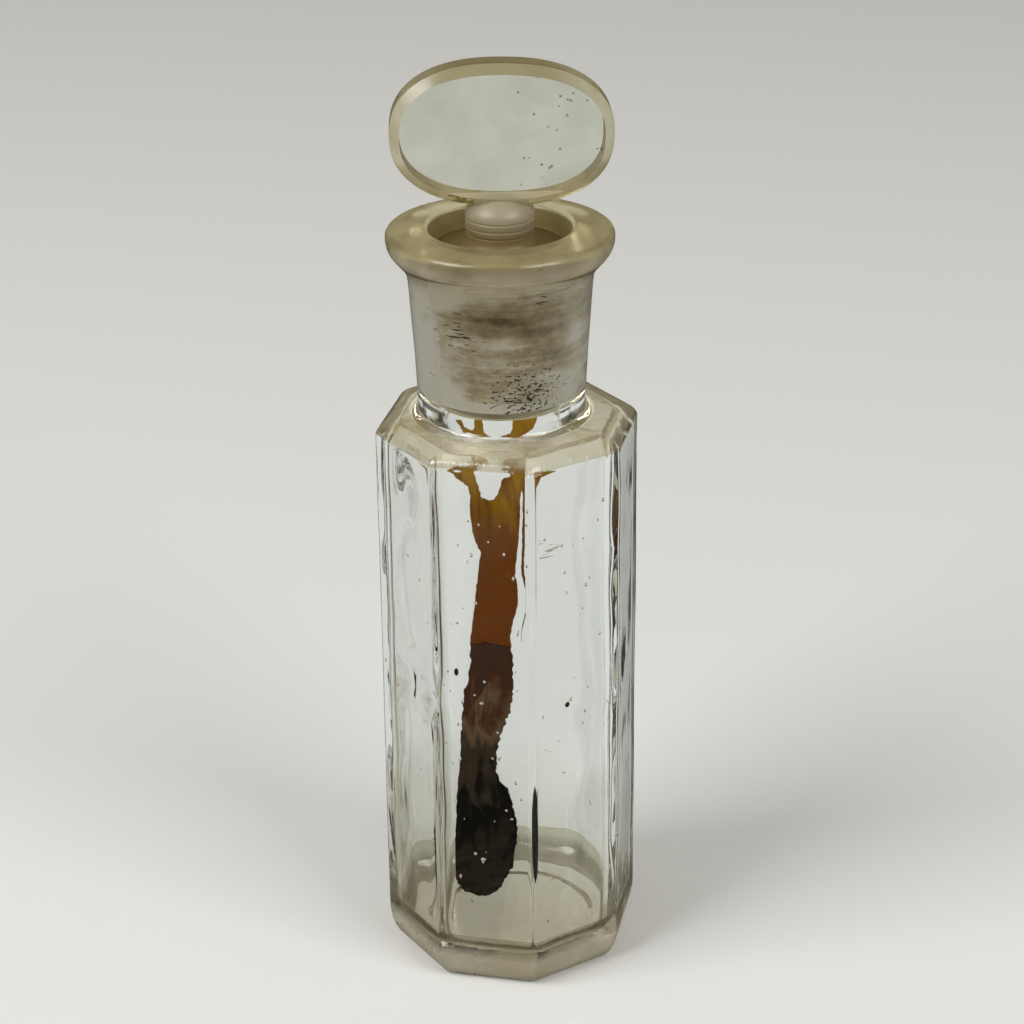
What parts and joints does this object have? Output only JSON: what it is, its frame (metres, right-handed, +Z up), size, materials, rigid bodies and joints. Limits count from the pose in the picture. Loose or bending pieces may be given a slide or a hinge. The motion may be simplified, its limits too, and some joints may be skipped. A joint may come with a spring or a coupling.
{
  "type": "perfume bottle with ground stopper",
  "caption": "Octagonal glass perfume bottle with a round neck, turned-out lip, ground-in stopper with a flat oval finial, and dried perfume inside.",
  "frame": {"origin": "centre of the octagonal base, on the plane it stands on", "axes": "+Z up the body's axis; the facets face X, Y and the directions between; the finial's flat side faces 14.75 degrees from -Y towards +X"},
  "size_m": [0.0234, 0.0234, 0.0911],
  "materials": {
    "moulded_glass": "clear, aged, with seeds",
    "stopper_glass": "fire-polished finial, ground plug",
    "dried_perfume": "dried amber film",
    "dark_crust": "dried brown-black crust"
  },
  "bodies": {
    "bottle_body": {"bottle": "moulded_glass", "residue_film": "dried_perfume", "residue_crust": "dark_crust"},
    "stopper_body": {"stopper": "stopper_glass"}
  },
  "joints": [
    {"name": "stopper_lift", "type": "slide", "parent": "bottle_body", "child": "stopper_body", "axis": [0, 0, 1], "range_m": [0, 0.03]}
  ]
}
